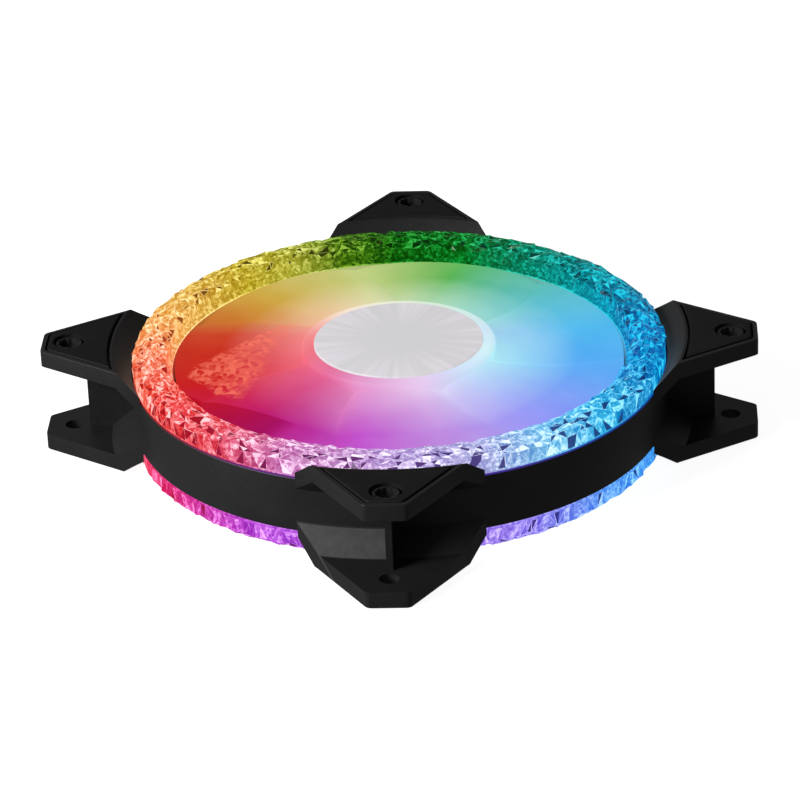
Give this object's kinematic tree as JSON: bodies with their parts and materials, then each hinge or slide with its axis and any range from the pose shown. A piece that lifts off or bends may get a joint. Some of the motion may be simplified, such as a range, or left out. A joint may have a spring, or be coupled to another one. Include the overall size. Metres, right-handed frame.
{
  "type": "computer case fan",
  "caption": "Square-pattern axial cooling fan with a faceted lit ring on each face, frosted impeller, round band and corner lugs.",
  "frame": {"origin": "centre of the rear face of the fan, on the axis, where the rear pads rest", "axes": "+Z along the fan's axis out of the front (intake) face; X and Y along the square's sides, the screw holes on their diagonals"},
  "size_m": [0.12, 0.12, 0.025],
  "materials": {
    "frame_plastic": "fine matte texture, near black",
    "pad_rubber": "soft matte black",
    "crystal": "clear, cut in facets, lit from below in all colours",
    "diffuser": "milky, even glow",
    "board": "white solder mask",
    "led": "clear lens on a white body",
    "chip": "black moulded package",
    "ribbon": "flat black lead",
    "label": "blank satin sticker",
    "brass": "turned",
    "bearing_bronze": "sintered, oily",
    "insulator": "off-white moulded",
    "core_steel": "stacked laminations",
    "copper": "enamelled wire",
    "impeller": "frosted, lit from the hub",
    "hub_cap": "fine lines from the middle",
    "steel": "drawn sheet",
    "magnet": "bonded ferrite",
    "shaft_steel": "ground and polished"
  },
  "bodies": {
    "frame": {"frame": "frame_plastic", "front_pad_1": "pad_rubber", "front_pad_2": "pad_rubber", "front_pad_3": "pad_rubber", "front_pad_4": "pad_rubber", "rear_pad_1": "pad_rubber", "rear_pad_2": "pad_rubber", "rear_pad_3": "pad_rubber", "rear_pad_4": "pad_rubber", "front_crystal_ring": "crystal", "rear_crystal_ring": "crystal", "front_light_guide": "diffuser", "rear_light_guide": "diffuser", "front_led_board": "board", "rear_led_board": "board", "motor_board": "board", "front_led_1": "led", "front_led_2": "led", "front_led_3": "led", "front_led_4": "led", "front_led_5": "led", "front_led_6": "led", "front_led_7": "led", "front_led_8": "led", "rear_led_1": "led", "rear_led_2": "led", "rear_led_3": "led", "rear_led_4": "led", "rear_led_5": "led", "rear_led_6": "led", "rear_led_7": "led", "rear_led_8": "led", "hub_led_1": "led", "hub_led_2": "led", "hub_led_3": "led", "hub_led_4": "led", "hall_sensor": "chip", "driver_chip": "chip", "led_ribbon": "ribbon", "rear_label": "label", "bearing_tube": "brass", "sleeve_bearing": "bearing_bronze", "oil_seal_ring": "insulator", "thrust_pad": "insulator", "stator_insulator_lower": "insulator", "stator_insulator_upper": "insulator", "stator_core": "core_steel", "coil_1": "copper", "coil_2": "copper", "coil_3": "copper", "coil_4": "copper"},
    "rotor": {"impeller": "impeller", "hub_cap": "hub_cap", "rotor_bush": "brass", "rotor_yoke": "steel", "magnet_ring": "magnet", "shaft": "shaft_steel", "retaining_ring": "steel"}
  },
  "joints": [
    {"name": "fan_spin", "type": "hinge", "parent": "frame", "child": "rotor", "pos_m": [0, 0, 0.0125], "axis": [0, 0, 1], "continuous": true}
  ]
}
